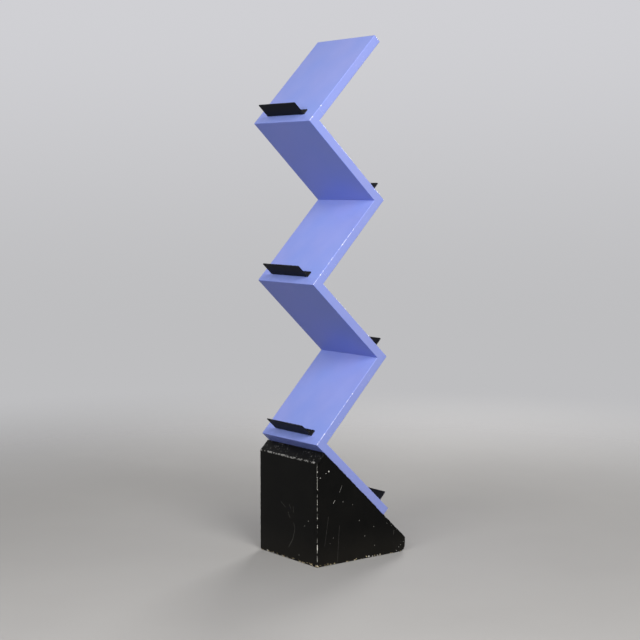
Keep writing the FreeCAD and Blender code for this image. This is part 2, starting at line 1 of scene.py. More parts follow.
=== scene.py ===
# %% [markdown]
# # A zig-zag magazine shelf
#
# Six painted boards fold to and fro up from a black wedge-shaped base. Each board carries a bent steel lip for
# magazines to stand on, three towards the front and three towards the rear. This lesson takes the shelf's solids as
# a fixed frame, models the pieces that show the way paint and some years of use have left them, and gives every
# surface its finish. Sizes are in metres: the front is towards -Y, and +Z is up.

# %% Load the solids as the frame
import math
from collections import namedtuple

import bmesh
import bpy
from mathutils import Matrix, Vector


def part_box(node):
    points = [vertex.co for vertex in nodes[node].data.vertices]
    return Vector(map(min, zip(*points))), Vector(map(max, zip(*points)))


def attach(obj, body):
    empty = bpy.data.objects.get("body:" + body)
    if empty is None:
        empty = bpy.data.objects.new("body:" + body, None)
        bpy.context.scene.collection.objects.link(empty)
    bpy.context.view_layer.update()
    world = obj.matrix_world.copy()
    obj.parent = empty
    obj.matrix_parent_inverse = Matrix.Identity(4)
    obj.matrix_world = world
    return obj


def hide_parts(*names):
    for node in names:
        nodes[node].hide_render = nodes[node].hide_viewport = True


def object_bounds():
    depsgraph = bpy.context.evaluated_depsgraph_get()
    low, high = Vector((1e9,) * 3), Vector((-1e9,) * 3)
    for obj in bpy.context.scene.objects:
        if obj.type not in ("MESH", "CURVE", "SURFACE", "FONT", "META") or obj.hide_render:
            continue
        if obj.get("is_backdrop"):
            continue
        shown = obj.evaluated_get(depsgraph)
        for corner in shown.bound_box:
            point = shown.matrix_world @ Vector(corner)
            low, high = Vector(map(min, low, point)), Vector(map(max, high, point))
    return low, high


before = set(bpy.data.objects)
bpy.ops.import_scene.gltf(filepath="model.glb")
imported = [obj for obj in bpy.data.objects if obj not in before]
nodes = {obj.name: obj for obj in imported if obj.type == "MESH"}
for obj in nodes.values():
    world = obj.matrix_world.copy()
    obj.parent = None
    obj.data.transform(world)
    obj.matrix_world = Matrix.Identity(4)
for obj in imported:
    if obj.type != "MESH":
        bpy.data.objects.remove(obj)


def rounded(values, digits=4):
    """Numbers to print, without their last digits."""
    return [round(value, digits) for value in values]


cad_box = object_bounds()
print(len(nodes), "solids, from", rounded(cad_box[0]), "to", rounded(cad_box[1]))

# %% [markdown]
# ## Read each board's slope
#
# A board is easiest to model lying flat, and to place on its slope afterwards. The slope could be written down as a
# number, but the frame already holds it: the largest face that looks up and runs level across the shelf is the
# board's upper face. Its normal gives the board's own axes, and the vertices measured along them give its length,
# its thickness and how far each mitre runs.

# %% Measure the boards
LEVEL = 0.01
NEAR = 1e-5
BOARDS = range(1, 7)
FOLDS = range(1, BOARDS[-1])

Board = namedtuple("Board", "matrix half_width half_thickness length low_run high_run")


def upper_normal(node):
    """Normal of the largest face that looks up and runs level across the shelf."""
    faces = [f for f in nodes[node].data.polygons if abs(f.normal.x) < LEVEL and f.normal.z > LEVEL]
    return max(faces, key=lambda face: face.area).normal.copy()


def mitre_run(offset):
    """Half of what a board's one face stands out past the other, or 0 at a square end."""
    return offset / 2 if offset > NEAR else 0


def measure_board(number):
    """A board's own axes, x across, y up the slope and z out of the upper face, with its sizes."""
    node = f"shelf_board_{number}"
    out = upper_normal(node)
    along = out.cross(Vector((1, 0, 0)))
    if along.z < 0:
        along.negate()
    across = along.cross(out)
    points = [vertex.co for vertex in nodes[node].data.vertices]
    heights = [point.dot(out) for point in points]
    top, bottom = max(heights), min(heights)
    reach = [point.dot(along) for point in points]
    upper = [a for a, h in zip(reach, heights) if h > top - NEAR]
    under = [a for a, h in zip(reach, heights) if h < bottom + NEAR]
    low_run = mitre_run(min(under) - min(upper))
    high_run = mitre_run(max(under) - max(upper))
    low = min(reach) + low_run
    high = max(reach) - high_run
    matrix = Matrix((across, along, out)).transposed().to_4x4()
    matrix.translation = along * low + out * (top + bottom) / 2
    half_width = max(point.x for point in points)
    return Board(matrix, half_width, (top - bottom) / 2, high - low, low_run, high_run)


boards = {number: measure_board(number) for number in BOARDS}
for number, board in boards.items():
    slope = math.degrees(math.asin(board.matrix.col[1].z))
    print(f"board {number}: {board.length:.4f} long, {2 * board.half_thickness:.4f} thick, at {slope:.1f} degrees")

# %% [markdown]
# ## Tools for modelling
#
# Each piece starts as a block at its size. It could be put together from single vertices and faces, but then every
# corner would have to be worked out first. A block is quick to place, and from there it is worked in edit mode, as
# at a bench. Operators act on all that is selected, so every helper first clears the selection.

# %% Choose, open and place a piece
def choose(piece):
    """Makes a piece the only one selected."""
    bpy.ops.object.select_all(action="DESELECT")
    piece.select_set(True)
    bpy.context.view_layer.objects.active = piece


def work_on(piece):
    """Opens a piece in edit mode."""
    choose(piece)
    bpy.ops.object.mode_set(mode="EDIT")


def leave():
    """Closes the open piece."""
    bpy.ops.object.mode_set(mode="OBJECT")


def settle(piece, matrix):
    """Moves a piece to its place, and puts that place into its mesh."""
    choose(piece)
    piece.matrix_world = matrix
    bpy.ops.object.transform_apply(location=True, rotation=True, scale=True)


def apply_modifier(piece, modifier):
    """Puts what a modifier does into its piece's mesh."""
    choose(piece)
    bpy.ops.object.modifier_apply(modifier=modifier.name)


def block(name, low, high):
    """A cube stretched between two corners, with its size and place in its mesh."""
    bpy.ops.object.select_all(action="DESELECT")
    low, high = Vector(low), Vector(high)
    bpy.ops.mesh.primitive_cube_add(size=1, location=(low + high) / 2, scale=high - low)
    bpy.ops.object.transform_apply(location=True, rotation=True, scale=True)
    piece = bpy.context.object
    piece.name = name
    return piece


print("made choose, work_on, leave, settle, apply_modifier and block")

# %% [markdown]
# A plane saws a mitre and a bevel eases an edge. By hand the edges would be clicked on one by one. Here they are
# picked by a rule on where they lie, so that a step still finds them when a size changes.

# %% Saw and pick
def saw(point, outward, keep_both=False):
    """Cuts the open piece along a plane, and takes away what lies outward of it."""
    bpy.ops.mesh.select_all(action="SELECT")
    bpy.ops.mesh.bisect(
        plane_co=point, plane_no=outward, clear_outer=not keep_both, use_fill=not keep_both, threshold=NEAR / 10,
    )


def pick(piece, kind, wanted):
    """Selects the open piece's points, edges or faces that answer a rule, and counts them."""
    bpy.ops.mesh.select_mode(type=kind)
    bpy.ops.mesh.select_all(action="DESELECT")
    mesh = bmesh.from_edit_mesh(piece.data)
    parts = {"VERT": mesh.verts, "EDGE": mesh.edges, "FACE": mesh.faces}[kind]
    chosen = [part for part in parts if wanted(part)]
    for part in chosen:
        part.select_set(True)
    bmesh.update_edit_mesh(piece.data)
    return len(chosen)


def pick_points(piece, wanted):
    return pick(piece, "VERT", lambda vertex: wanted(vertex.co))


def pick_edges(piece, wanted):
    return pick(piece, "EDGE", lambda edge: wanted(edge.verts[0].co, edge.verts[1].co))


def pick_faces(piece, wanted):
    return pick(piece, "FACE", wanted)


def close(a, b):
    return abs(a - b) < NEAR


def level_edge(y, z):
    """The rule for edges that run straight across the shelf at one place."""
    return lambda a, b: all(close(p.y, y) and close(p.z, z) for p in (a, b))


print("two places are the same within", NEAR, "m")

# %% [markdown]
# ## Rounded corners and dents
#
# Where two pieces share a corner, as at a fold, both have to be rounded alike or the joint would gape. A bevel
# follows one piece's own faces, so the corner is rounded with saw cuts instead: each cut just touches a circle that
# both pieces know. Painted edges that are knocked and rubbed also lose their even line. Sculpting every dent would
# take long, so a Displace modifier presses a cloud pattern into the vertices of a vertex group. Its strength is
# negative and its middle level 0, so that dents only ever go inwards.

# %% Round a corner, press dents
HALF_ROUND = (0, 0.5)
DENT_SIZE = 0.011

dents = bpy.data.textures.new("edge_dents", "CLOUDS")
dents.noise_scale = DENT_SIZE
dents.noise_depth = 2
dents.intensity = 0.8
dents.contrast = 2.4
dents.use_clamp = True


def round_corner(corner, bisector, face, radius, shares=HALF_ROUND):
    """Saws the open piece round a corner, by shares of the turn from its bisector to a face's normal."""
    centre = corner - bisector * radius / bisector.dot(face)
    for share in shares:
        outward = bisector.slerp(face, share)
        saw(centre + outward * radius, outward)


def refine(piece, wanted, cell):
    """Halves the open piece's edges that answer a rule, until each is shorter than a cell."""
    while pick_edges(piece, lambda a, b: (a - b).length > cell and wanted(a, b)):
        bpy.ops.mesh.subdivide(number_cuts=1)


def dent(piece, depth, worn):
    """Presses dents into a piece's vertices, given by their numbers."""
    group = piece.vertex_groups.new(name="worn")
    group.add(worn, 1, "REPLACE")
    press = piece.modifiers.new("dents", "DISPLACE")
    press.texture = dents
    press.texture_coords = "LOCAL"
    press.vertex_group = group.name
    press.mid_level = 0
    press.strength = -depth
    apply_modifier(piece, press)
    piece.vertex_groups.clear()


print("dents about", DENT_SIZE, "m across")

# %% [markdown]
# A finished piece stands for its solid: it rides on the shelf's one body and hides the solid. Shading it flat would
# show every small face of a rounded edge, and shading it smooth would make broad faces look bulged. So it is shaded
# smooth below an angle, with normals weighted by area.

# %% Hand a piece over
SMOOTH_ANGLE = 35


def hand_over(piece, node):
    """Lets a finished piece stand for a solid of the frame."""
    choose(piece)
    bpy.ops.object.shade_smooth_by_angle(angle=math.radians(SMOOTH_ANGLE))
    flat = piece.modifiers.new("flat_faces", "WEIGHTED_NORMAL")
    flat.keep_sharp = True
    apply_modifier(piece, flat)
    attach(piece, "root")
    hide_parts(node)
    return piece


print("edges below", SMOOTH_ANGLE, "degrees are shaded smooth")

# %% [markdown]
# ## The boards
#
# On the real shelf the boards are mitred together at their folds, glued on loose tongues and painted over. A mitre
# could be made by moving vertices, but a saw cut with the bisect tool is what a joiner does, and it leaves a clean
# closed end. The outer corner of each fold is then rounded, and each tongue cuts its own slot with a Boolean
# modifier.

# %% Saw a fold and cut a slot
FOLD_ROUND = 0.0025


def saw_fold(board, y, run, way):
    """Saws one mitre of the open board, and rounds the sharp edge that it leaves."""
    face = Vector((0, 0, -way))
    middle = Vector((0, y, 0))
    tip = middle + Vector((0, way * run, 0)) + face * board.half_thickness
    saw(middle, Vector((0, board.half_thickness, run)) * way)
    round_corner(tip, (tip - middle).normalized(), face, FOLD_ROUND)


def cut_out(piece, cutter):
    """Takes a cutter's shape out of a piece, and the cutter away."""
    hollow = piece.modifiers.new("hollow", "BOOLEAN")
    hollow.operation = "DIFFERENCE"
    hollow.solver = "EXACT"
    hollow.object = cutter
    apply_modifier(piece, hollow)
    bpy.data.objects.remove(cutter)


def tongue_cutter(fold):
    """A closed copy of a fold's tongue."""
    cutter = bpy.data.objects.new("slot", nodes[f"fold_tongue_{fold}"].data.copy())
    bpy.context.scene.collection.objects.link(cutter)
    work_on(cutter)
    bpy.ops.mesh.select_all(action="SELECT")
    bpy.ops.mesh.remove_doubles(threshold=NEAR)
    leave()
    bpy.ops.mesh.customdata_custom_splitnormals_clear()
    return cutter


print(len(FOLDS), "folds, each rounded to", FOLD_ROUND, "m")

# %% [markdown]
# Painters ease sharp edges, because paint runs away from them. A Bevel modifier on the whole board would ease the
# mitres too and open the joints, so only the edges round the sides and at the square ends are picked. Of those,
# only the long ones are knocked by hands and magazines.

# %% Tell a board's edges
ARRIS = 0.0015


def in_mitre(board, p):
    """Whether a point lies in one of a board's mitres."""
    low_gap = p.y + p.z * board.low_run / board.half_thickness
    high_gap = board.length - p.y - p.z * board.high_run / board.half_thickness
    return bool(board.low_run) and close(low_gap, 0) or bool(board.high_run) and close(high_gap, 0)


def is_eased(board, a, b):
    """Whether an edge runs round a side or along a square end, and not in a mitre."""
    by_side = close(abs(a.x), board.half_width) and close(a.x, b.x)
    square_end = close(a.y, b.y) and (close(a.y, 0) or close(a.y, board.length))
    return (by_side or square_end) and not (in_mitre(board, a) and in_mitre(board, b))


def is_knocked(board, p):
    """Whether a point lies on a long eased edge."""
    on_arris = board.half_width - abs(p.x) < ARRIS - NEAR and board.half_thickness - abs(p.z) < ARRIS - NEAR
    return on_arris and ARRIS < p.y < board.length - ARRIS


print("edges eased by", ARRIS, "m")

# %% [markdown]
# Each board is sawn and eased lying flat. Dividing all of it finely would make its broad faces uneven, so a cut
# beside each long edge and many short divisions give vertices to be dented only there. Then the board is set on its
# slope.

# %% Model the six boards
ARRIS_STEPS = 3
BORDER = 0.006
BOARD_CELL = 0.007
BOARD_DENT = 0.0005


def sawn_board(number):
    """A board that lies flat, with its mitres and eased edges."""
    board = boards[number]
    half_w, half_t = board.half_width, board.half_thickness
    low = (-half_w, -board.low_run, -half_t)
    piece = block(f"painted_board_{number}", low, (half_w, board.length + board.high_run, half_t))
    work_on(piece)
    if board.low_run:
        saw_fold(board, 0, board.low_run, -1)
    if board.high_run:
        saw_fold(board, board.length, board.high_run, 1)
    pick_edges(piece, lambda a, b: is_eased(board, a, b))
    bpy.ops.mesh.bevel(offset=ARRIS, segments=ARRIS_STEPS, affect="EDGES")
    for x in (half_w - BORDER, BORDER - half_w):
        saw((x, 0, 0), (1, 0, 0), keep_both=True)
    refine(piece, lambda a, b: close(a.x, b.x) and close(a.z, b.z), BOARD_CELL)
    leave()
    return piece


def painted_board(number):
    """A board on its slope, dented along its edges and slotted for its tongues."""
    piece = sawn_board(number)
    knocked = [v.index for v in piece.data.vertices if is_knocked(boards[number], v.co)]
    settle(piece, boards[number].matrix)
    dent(piece, BOARD_DENT, knocked)
    for fold in (number - 1, number):
        if fold in FOLDS:
            cut_out(piece, tongue_cutter(fold))
    return hand_over(piece, f"shelf_board_{number}")


painted = {number: painted_board(number) for number in BOARDS}
print("faces of the boards:", [len(piece.data.polygons) for piece in painted.values()])

# %% [markdown]
# ## The lips
#
# Each lip is a strip of sheet steel with one bend: a flange that is screwed flat on the board, and a leg square to
# it. Its sizes could be typed in again, but the solids already have them, so they are read in the board's own axes.
# The screws' place across the flange comes from the screws themselves.

# %% Measure the lips
SCREW_HEAD = 0.00325

Lip = namedtuple("Lip", "foot half_length leg flange gauge screws")


def measure_lip(number):
    """A lip's place and sizes in its board's own axes."""
    into_board = boards[number].matrix.inverted()
    points = [into_board @ v.co for v in nodes[f"magazine_lip_{number}"].data.vertices]
    foot = min(p.y for p in points)
    top = max(p.z for p in points)
    gauge = max(p.y for p in points if close(p.z, top)) - foot
    flange = max(p.y for p in points) - foot
    leg = top - boards[number].half_thickness
    screws = [into_board @ v.co for v in nodes[f"lip_screws_{number}"].data.vertices]
    reach = max(p.x for p in screws) - SCREW_HEAD
    line = (min(p.y for p in screws) + max(p.y for p in screws)) / 2 - foot
    return Lip(foot, max(p.x for p in points), leg, flange, gauge, ((-reach, line), (reach, line)))


lips = {number: measure_lip(number) for number in BOARDS}
print("legs", round(lips[1].leg, 4), "long, flanges", round(lips[1].flange, 4), "wide")

# %% [markdown]
# A solid extrusion would work, but sheet metal is easier as a surface that is given its thickness at the end. A
# plane becomes the flange, its edge is extruded to the leg, a bevel makes the bend, and vertex bevels round the
# free corners. Solidify then adds the gauge, and two Booleans drill and countersink each screw hole.

# %% Bend one lip
LIP_BEND = 0.002
LIP_CORNER = 0.004
LIP_EASE = 0.0003
EASE_ANGLE = 50
BEND_STEPS = 6
SCREW_HOLE = 0.00195
HOLE_SIDES = 32


def bent_sheet(lip):
    """A lip as a surface, with its bend and its round corners."""
    bpy.ops.object.select_all(action="DESELECT")
    bpy.ops.mesh.primitive_plane_add(size=1, location=(0, lip.flange / 2, 0))
    piece = bpy.context.object
    piece.scale = (2 * lip.half_length, lip.flange, 1)
    bpy.ops.object.transform_apply(location=True, rotation=True, scale=True)
    work_on(piece)
    pick_edges(piece, level_edge(0, 0))
    bpy.ops.mesh.extrude_region_move(TRANSFORM_OT_translate={"value": (0, 0, lip.leg)})
    pick_edges(piece, level_edge(0, 0))
    bpy.ops.mesh.bevel(offset=LIP_BEND + lip.gauge, segments=BEND_STEPS, affect="EDGES")
    pick_points(piece, lambda p: close(p.z, lip.leg) or close(p.y, lip.flange))
    bpy.ops.mesh.bevel(offset=LIP_CORNER, segments=BEND_STEPS, affect="VERTICES")
    leave()
    return piece


def drill(piece, x, y, top):
    """Drills a countersunk hole through a flange."""
    sink = SCREW_HEAD - SCREW_HOLE
    bpy.ops.object.select_all(action="DESELECT")
    bpy.ops.mesh.primitive_cylinder_add(
        vertices=HOLE_SIDES, radius=SCREW_HOLE, depth=4 * top, location=(x, y, top),
    )
    cut_out(piece, bpy.context.object)
    bpy.ops.object.select_all(action="DESELECT")
    bpy.ops.mesh.primitive_cone_add(
        vertices=HOLE_SIDES, radius1=SCREW_HOLE, radius2=SCREW_HEAD + sink, depth=2 * sink, location=(x, y, top),
    )
    cut_out(piece, bpy.context.object)


def bent_lip(lip):
    """A lip of sheet steel, with eased edges and its screw holes."""
    piece = bent_sheet(lip)
    sheet = piece.modifiers.new("gauge", "SOLIDIFY")
    sheet.thickness = lip.gauge
    sheet.offset = 1
    sheet.use_even_offset = True
    apply_modifier(piece, sheet)
    ease = piece.modifiers.new("eased", "BEVEL")
    ease.width = LIP_EASE
    ease.segments = 2
    ease.limit_method = "ANGLE"
    ease.angle_limit = math.radians(EASE_ANGLE)
    apply_modifier(piece, ease)
    for x, y in lip.screws:
        drill(piece, x, y, lip.gauge)
    return piece


first_lip = bent_lip(lips[1])
print("one lip:", len(first_lip.data.polygons), "faces,", rounded(first_lip.dimensions))

# %% [markdown]
# All six lips are alike, so they are copies of the first, each with a mesh of its own. An Array would set them in a
# row, but these stand on six slopes. A lip's place on its board is one matrix, and applying it puts the place into
# the mesh.

# %% Set six lips on their boards
def lip_matrix(number):
    """A lip's own axes: x along it, y up the board and z out of it."""
    foot = Vector((0, lips[number].foot, boards[number].half_thickness))
    return boards[number].matrix @ Matrix.Translation(foot)


def steel_lip(number):
    """A copy of the first lip, set on its board."""
    choose(first_lip)
    bpy.ops.object.duplicate(linked=False)
    piece = bpy.context.object
    piece.name = f"steel_lip_{number}"
    settle(piece, lip_matrix(number))
    return hand_over(piece, f"magazine_lip_{number}")


steel = {number: steel_lip(number) for number in BOARDS}
bpy.data.objects.remove(first_lip)
print("lips at heights", rounded((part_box(f"magazine_lip_{number}")[0][2] for number in BOARDS), 3))

# %% [markdown]
# ## The base
#
# The base is a box of painted panels: two wedge-shaped sides, and between them a front, a bevel, a slope and a
# solid toe. A side could be drawn as an outline and extruded, but its corners would have to be worked out first.
# Here a block is sawn along planes that all the panels share, and those come from the frame: the front's upper
# edge, the apex under the lowest board, and the normals of the bevel and the slope.

# %% Measure the wedge
side_low, side_high = (Vector(c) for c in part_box("base_side_right"))
front_y, toe_y = side_low.y, side_high.y
outer_x, inner_x = side_high.x, side_low.x
ridge = Vector((0, front_y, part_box("base_front")[1][2]))
apex = next(v.co.copy() for v in nodes["base_bevel"].data.vertices if close(v.co.z, side_high.z))
apex.x = 0
front_out = Vector((0, -1, 0))
bevel_out = upper_normal("base_bevel")
slope_out = upper_normal("base_slope")
ridge_out = (front_out + bevel_out).normalized()
ridge_cut = Vector((0, ridge_out.z, -ridge_out.y))
toe_top = apex.z - (toe_y - apex.y) * slope_out.y / slope_out.z
print("ridge", rounded(ridge), "apex", rounded(apex), "toe", round(toe_top, 4))

# %% [markdown]
# The sides take the knocks, so they are modelled with the most wear. One more cut takes off the lower front corner,
# and the toe is rounded by a bevel whose offset follows from the radius and the turn of the corner. The outer edge
# is eased all round. Dividing the whole side would let the dents spread over it, so a ring of faces is inset beside
# the edge instead. Dents then bend only narrow faces and leave the broad side flat.

# %% Model the two sides
TOE_ROUND = 0.009
TOE_FOOT_ROUND = 0.02
TOE_STEPS = 6
RIDGE_ROUND = 0.003
BASE_ARRIS = 0.002
BASE_RING = 0.005
BASE_CELL = 0.006
BASE_DENT = 0.002
FAR_DENT = 0.0008
CORNER_LOSS = 0.006


def open_block(name, node):
    """A block as large as a solid's box, open in edit mode."""
    piece = block(name, *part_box(node))
    work_on(piece)
    return piece


def round_toe(piece):
    """Rounds the open piece's two edges at the toe."""
    upper_turn = math.atan2(slope_out.z, slope_out.y)
    for z, turn, radius in ((0, math.pi / 2, TOE_FOOT_ROUND), (toe_top, upper_turn, TOE_ROUND)):
        pick_edges(piece, level_edge(toe_y, z))
        bpy.ops.mesh.bevel(offset=radius * math.tan(turn / 2), segments=TOE_STEPS, affect="EDGES")


def black_side(name, node, way, depth):
    """A side of the base, with a lost corner and dents along its outer edge."""
    outside = way * outer_x
    piece = open_block(name, node)
    saw(ridge, bevel_out)
    saw(apex, slope_out)
    saw((outside - way * CORNER_LOSS, front_y, 0), (way, -1, -1))
    round_corner(ridge, ridge_out, front_out, RIDGE_ROUND)
    round_corner(ridge, ridge_out, bevel_out, RIDGE_ROUND, HALF_ROUND[1:])
    round_toe(piece)
    pick_edges(piece, lambda a, b: close(a.x, outside) and close(b.x, outside))
    bpy.ops.mesh.bevel(offset=BASE_ARRIS, segments=ARRIS_STEPS, affect="EDGES")
    pick_faces(piece, lambda face: face.normal.x * way > 1 - LEVEL)
    bpy.ops.mesh.inset(thickness=BASE_RING)
    refine(piece, lambda a, b: close(a.x, b.x) and abs(a.x) > outer_x - BASE_RING, BASE_CELL)
    leave()
    worn = [v.index for v in piece.data.vertices if NEAR < outer_x - abs(v.co.x) < BASE_ARRIS - NEAR]
    dent(piece, depth, worn)
    return hand_over(piece, node)


black = [
    black_side("black_side_right", "base_side_right", 1, BASE_DENT),
    black_side("black_side_left", "base_side_left", -1, FAR_DENT),
]
print("faces of the sides:", [len(piece.data.polygons) for piece in black])

# %% [markdown]
# The front and the bevel meet in a mitre behind the worn ridge. The bevel could be a flat panel that is turned into
# place, but its planes are already known from the wedge. So each panel starts as a block as large as its solid's
# box, and is sawn along those planes. The ridge is rounded on the same circle as on the sides.

# %% Model the front, the bevel and the toe
panel = outer_x - inner_x
panel_back = ridge - bevel_out * panel
shoulder = max((v.co for v in nodes["base_toe_block"].data.vertices), key=lambda p: p.z)


def is_lower_arris(p):
    """Whether a point lies on the eased lower edge of the front."""
    return NEAR < p.z < BASE_ARRIS - NEAR and NEAR < p.y - front_y < BASE_ARRIS - NEAR


def black_front():
    """The upright front, mitred at the ridge and dented along its lower edge."""
    piece = open_block("black_front", "base_front")
    saw(ridge, ridge_cut)
    round_corner(ridge, ridge_out, front_out, RIDGE_ROUND)
    pick_edges(piece, level_edge(front_y, 0))
    bpy.ops.mesh.bevel(offset=BASE_ARRIS, segments=ARRIS_STEPS, affect="EDGES")
    refine(piece, lambda a, b: close(a.y, b.y) and close(a.z, b.z) and a.z < BASE_ARRIS + NEAR, BASE_CELL)
    leave()
    worn = [v.index for v in piece.data.vertices if is_lower_arris(v.co)]
    dent(piece, BASE_DENT, worn)
    return hand_over(piece, "base_front")


def black_bevel():
    """The leaning panel between the ridge and the apex, mitred at both."""
    apex_out = (bevel_out + slope_out).normalized()
    apex_cut = Vector((0, apex_out.z, -apex_out.y))
    piece = open_block("black_bevel", "base_bevel")
    saw(ridge, bevel_out)
    saw(ridge, -ridge_cut)
    saw(apex, apex_cut)
    saw(panel_back, -bevel_out)
    round_corner(ridge, ridge_out, bevel_out, RIDGE_ROUND)
    leave()
    return hand_over(piece, "base_bevel")


def black_toe():
    """The solid toe, sawn to the slope and rounded like the sides."""
    up_slope = Vector((0, -slope_out.z, slope_out.y))
    piece = open_block("black_toe", "base_toe_block")
    saw(apex, slope_out)
    saw((0, shoulder.y, shoulder.z), up_slope)
    round_toe(piece)
    leave()
    return hand_over(piece, "base_toe_block")


black += [black_front(), black_bevel(), black_toe()]
print("panels", round(panel, 4), "thick, faces:", [len(piece.data.polygons) for piece in black])

# %% [markdown]
# ## Shader maths in Python
#
# The finishes are worked out from places on the pieces: how far a point lies from an edge, and whether a cloudy
# pattern is high or low there. Wiring that by hand takes dozens of Math nodes. A small class wraps a node's output
# instead and overloads Python's operators, so that `reach - gap` adds the Math node by itself.

# %% A class for values that flow between nodes
class Flow:
    """A node's output. Python's operators on it add Math nodes to the same material."""

    def __init__(self, socket):
        self.socket = socket

    def node(self, kind, settings=None, inputs=None, output=0):
        """Adds a node: its settings first, then the values or links of its sockets."""
        tree = self.socket.id_data
        added = tree.nodes.new(kind)
        for name, value in (settings or {}).items():
            setattr(added, name, value)
        for name, value in (inputs or {}).items():
            if isinstance(value, Flow):
                tree.links.new(value.socket, added.inputs[name])
            else:
                added.inputs[name].default_value = value
        return Flow(added.outputs[output])

    def beside(self, output):
        """Another output of the same node."""
        return Flow(self.socket.node.outputs[output])

    def split(self):
        """The three numbers of a place."""
        first = self.node("ShaderNodeSeparateXYZ", inputs={"Vector": self})
        return first, first.beside(1), first.beside(2)

    def maths(self, operation, *others):
        return self.node("ShaderNodeMath", {"operation": operation}, dict(enumerate((self, *others))))

    def __add__(self, other):
        return self.maths("ADD", other)

    def __sub__(self, other):
        return self.maths("SUBTRACT", other)

    def __rsub__(self, other):
        return self.maths("MULTIPLY_ADD", -1, other)

    def __mul__(self, other):
        return self.maths("MULTIPLY", other)

    def __abs__(self):
        return self.maths("ABSOLUTE")

    __radd__ = __add__
    __rmul__ = __mul__

    def least(self, other):
        return self.maths("MINIMUM", other)

    def most(self, other):
        return self.maths("MAXIMUM", other)

    def hypot(self, other):
        """The length of a step, from its two parts."""
        return (self * self + other * other).maths("SQRT")

    def fade(self, low, high):
        """0 below one value, 1 above another, and a soft step between them."""
        return self.node(
            "ShaderNodeMapRange", {"interpolation_type": "SMOOTHSTEP"},
            {"Value": self, "From Min": low, "From Max": high},
        )

    def mix(self, first, second):
        """The first colour where this is 0, the second where it is 1."""
        return self.node("ShaderNodeMix", {"data_type": "RGBA"}, {0: self, 6: first, 7: second}, 2)


print("operators on", Flow.__name__, "add nodes")

# %% [markdown]
# Every finish starts the same way: a Principled shader, and the Object coordinate, which is the place in metres. UV
# maps would do as well, but they would have to be unwrapped for each piece. Colours are written as a screen shows
# them, from 0 to 255, and turned into the linear light that shaders use.

# %% Start a finish
def screen(red, green, blue):
    """A colour as a screen shows it, in linear light."""
    shares = (value / 255 for value in (red, green, blue))
    return (*(s / 12.92 if s <= 0.04045 else ((s + 0.055) / 1.055) ** 2.4 for s in shares), 1)


def start_finish(name):
    """A new material, its shader, and the place on the piece."""
    finish = bpy.data.materials.new(name)
    finish.use_nodes = True
    tree = finish.node_tree
    place = Flow(tree.nodes.new("ShaderNodeTexCoord").outputs["Object"])
    return finish, tree.nodes["Principled BSDF"], place


def connect(shader, color, roughness, normal):
    """Links what changes over a surface to its shader."""
    for socket, flow in (("Base Color", color), ("Roughness", roughness), ("Normal", normal)):
        shader.id_data.links.new(flow.socket, shader.inputs[socket])


def own_place(place, matrix):
    """The place in a piece's own axes."""
    return place.node(
        "ShaderNodeMapping", {"vector_type": "TEXTURE"},
        {"Vector": place, "Location": matrix.translation, "Rotation": matrix.to_euler()},
    )


def wear_finish(piece, finish):
    """Gives a piece or a solid of the frame one finish all over."""
    piece.data.materials.clear()
    piece.data.materials.append(finish)


print("white paper is", rounded(screen(245, 245, 245)[:3], 3))

# %% [markdown]
# Paint, wood and metal all vary a little over their surface. A few patterns are enough for that: clouds, streaks
# and specks. Their grain is given in metres, so that a number can be compared with a ruler. A bump turns a pattern
# into relief, about as deep as a film of paint is thick.

# %% Patterns and relief
FILM = 0.00025


def noise(place, grain, detail=2):
    """Cloudy pattern from 0 to 1."""
    return place.node("ShaderNodeTexNoise", inputs={"Vector": place, "Scale": 1 / grain, "Detail": detail})


def streaks(place, grains, detail=2):
    """Cloudy pattern with a grain of its own along each axis."""
    scale = [1 / grain for grain in grains]
    return noise(place.node("ShaderNodeMapping", inputs={"Vector": place, "Scale": scale}), 1, detail)


def specks(place, spacing, radius, share):
    """Small round marks, in a share of the cells of an uneven grid."""
    cells = place.node("ShaderNodeTexVoronoi", inputs={"Vector": place, "Scale": 1 / spacing})
    lot = place.node("ShaderNodeSeparateColor", inputs={"Color": cells.beside("Color")})
    return (radius - cells * spacing).fade(0, radius / 2) * (share - lot).fade(0, 0.02)


def bump(height, depth):
    """Surface normal of a relief that is a depth high."""
    return height.node("ShaderNodeBump", inputs={"Height": height, "Distance": depth}, output="Normal")


print("relief up to", FILM, "m")

# %% [markdown]
# ## Lavender-blue paint
#
# The boards are painted a satin lavender blue by roller, with the soft blotches and fine orange peel that leaves.
# Hands and magazines have rubbed the edges through to the pale primer, most on the near front edges of the lower
# and middle boards. A hand-painted texture could hold that, but it would need an image file. Here the gaps from a
# point to the board's faces are added up in pairs: where two are small, the point is on an edge.

# %% Measure the gaps to a board's edges
Gaps = namedtuple("Gaps", "side upper under fold top")


def board_gaps(board, across, along, out):
    """How far a point lies from a board's sides, its two faces, the fold below it and its upper end."""
    side = board.half_width - abs(across)
    upper = board.half_thickness - out
    under = board.half_thickness + out
    fold = along + board.low_run + upper
    top = board.length + board.high_run - along + (under if board.high_run else upper)
    return Gaps(side, upper, under, fold, top)


def on_face(gap, skin=0.002, soft=0.001):
    """1 on a face, and 0 from a skin's depth behind it."""
    return (skin - gap).fade(0, soft)


def rubbed(gap, reach, patches, ragged):
    """Paint rubbed away within a reach of an edge, in patches with a ragged outline."""
    return (patches * reach + ragged - gap).fade(0, reach / 4)


print("gaps of a board:", Gaps._fields)

# %% [markdown]
# Cloudy noise decides how far the paint is gone: in knocks all round, in a long thin line where hands take hold, in
# a few bright spots and in small chips beside the edges. One rule for all the boards would wear them alike, so the
# lines and spots are given for each front board.

